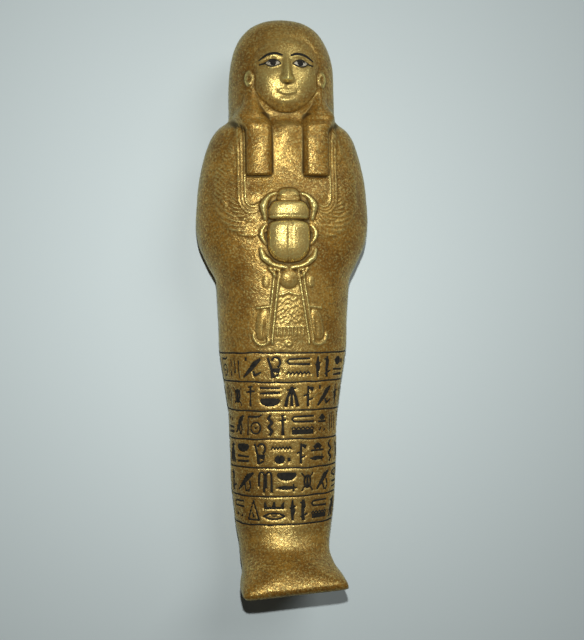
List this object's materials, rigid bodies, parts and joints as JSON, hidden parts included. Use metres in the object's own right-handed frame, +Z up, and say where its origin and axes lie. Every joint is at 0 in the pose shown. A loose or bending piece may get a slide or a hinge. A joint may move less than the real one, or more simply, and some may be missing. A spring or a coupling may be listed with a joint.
{
  "type": "mummiform shabti statuette",
  "caption": "Gilt mummy-shaped shabti statuette with a plain wig, winged scarab on the chest and ruled bands on the legs, lying on its back.",
  "frame": {"origin": "middle of the figure's footprint as it lies on its back, on the surface under it", "axes": "+Y along the body towards the crown of the head, +Z up out of the chest, +X to the figure's left hand side"},
  "size_m": [0.076, 0.2499, 0.0482],
  "materials": {
    "gilding": "worn gold leaf over cast filled resin, mottled brown in the hollows",
    "black_paint": "matt black paint in the incised signs, brows and eye lines",
    "white_paint": "off-white paint of the eyes"
  },
  "bodies": {
    "root": {"shabti_figure": "gilding"}
  },
  "joints": []
}
